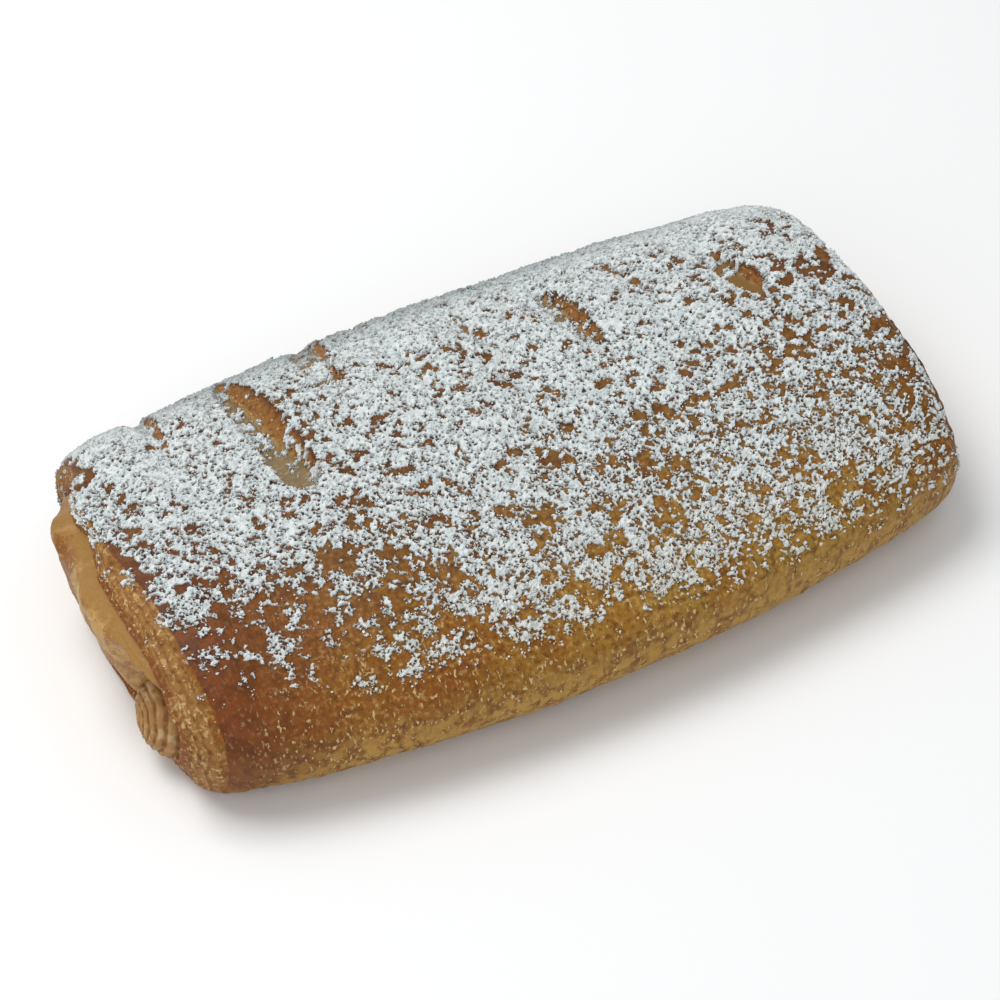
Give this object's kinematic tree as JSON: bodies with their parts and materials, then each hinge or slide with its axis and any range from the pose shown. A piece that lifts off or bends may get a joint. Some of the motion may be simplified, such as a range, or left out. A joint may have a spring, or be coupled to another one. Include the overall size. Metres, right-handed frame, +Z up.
{
  "type": "fruit strudel",
  "caption": "Whole baked strudel of puff pastry wrapped round a fruit filling, with a slashed crown dusted with icing sugar.",
  "frame": {"origin": "on the resting surface, under the middle of the whole length and width", "axes": "+X along the strudel towards the far cut end, +Y towards the long side that carries the row of slashes, +Z up"},
  "size_m": [0.1622, 0.0954, 0.0323],
  "materials": {
    "baked_pastry": "glazed and browned flaky crust, satin on the crown and dull at the cut edges",
    "baked_filling": "baked surface, dull to slightly moist"
  },
  "bodies": {
    "root": {"pastry_wrap": "baked_pastry", "fruit_filling": "baked_filling"}
  },
  "joints": []
}
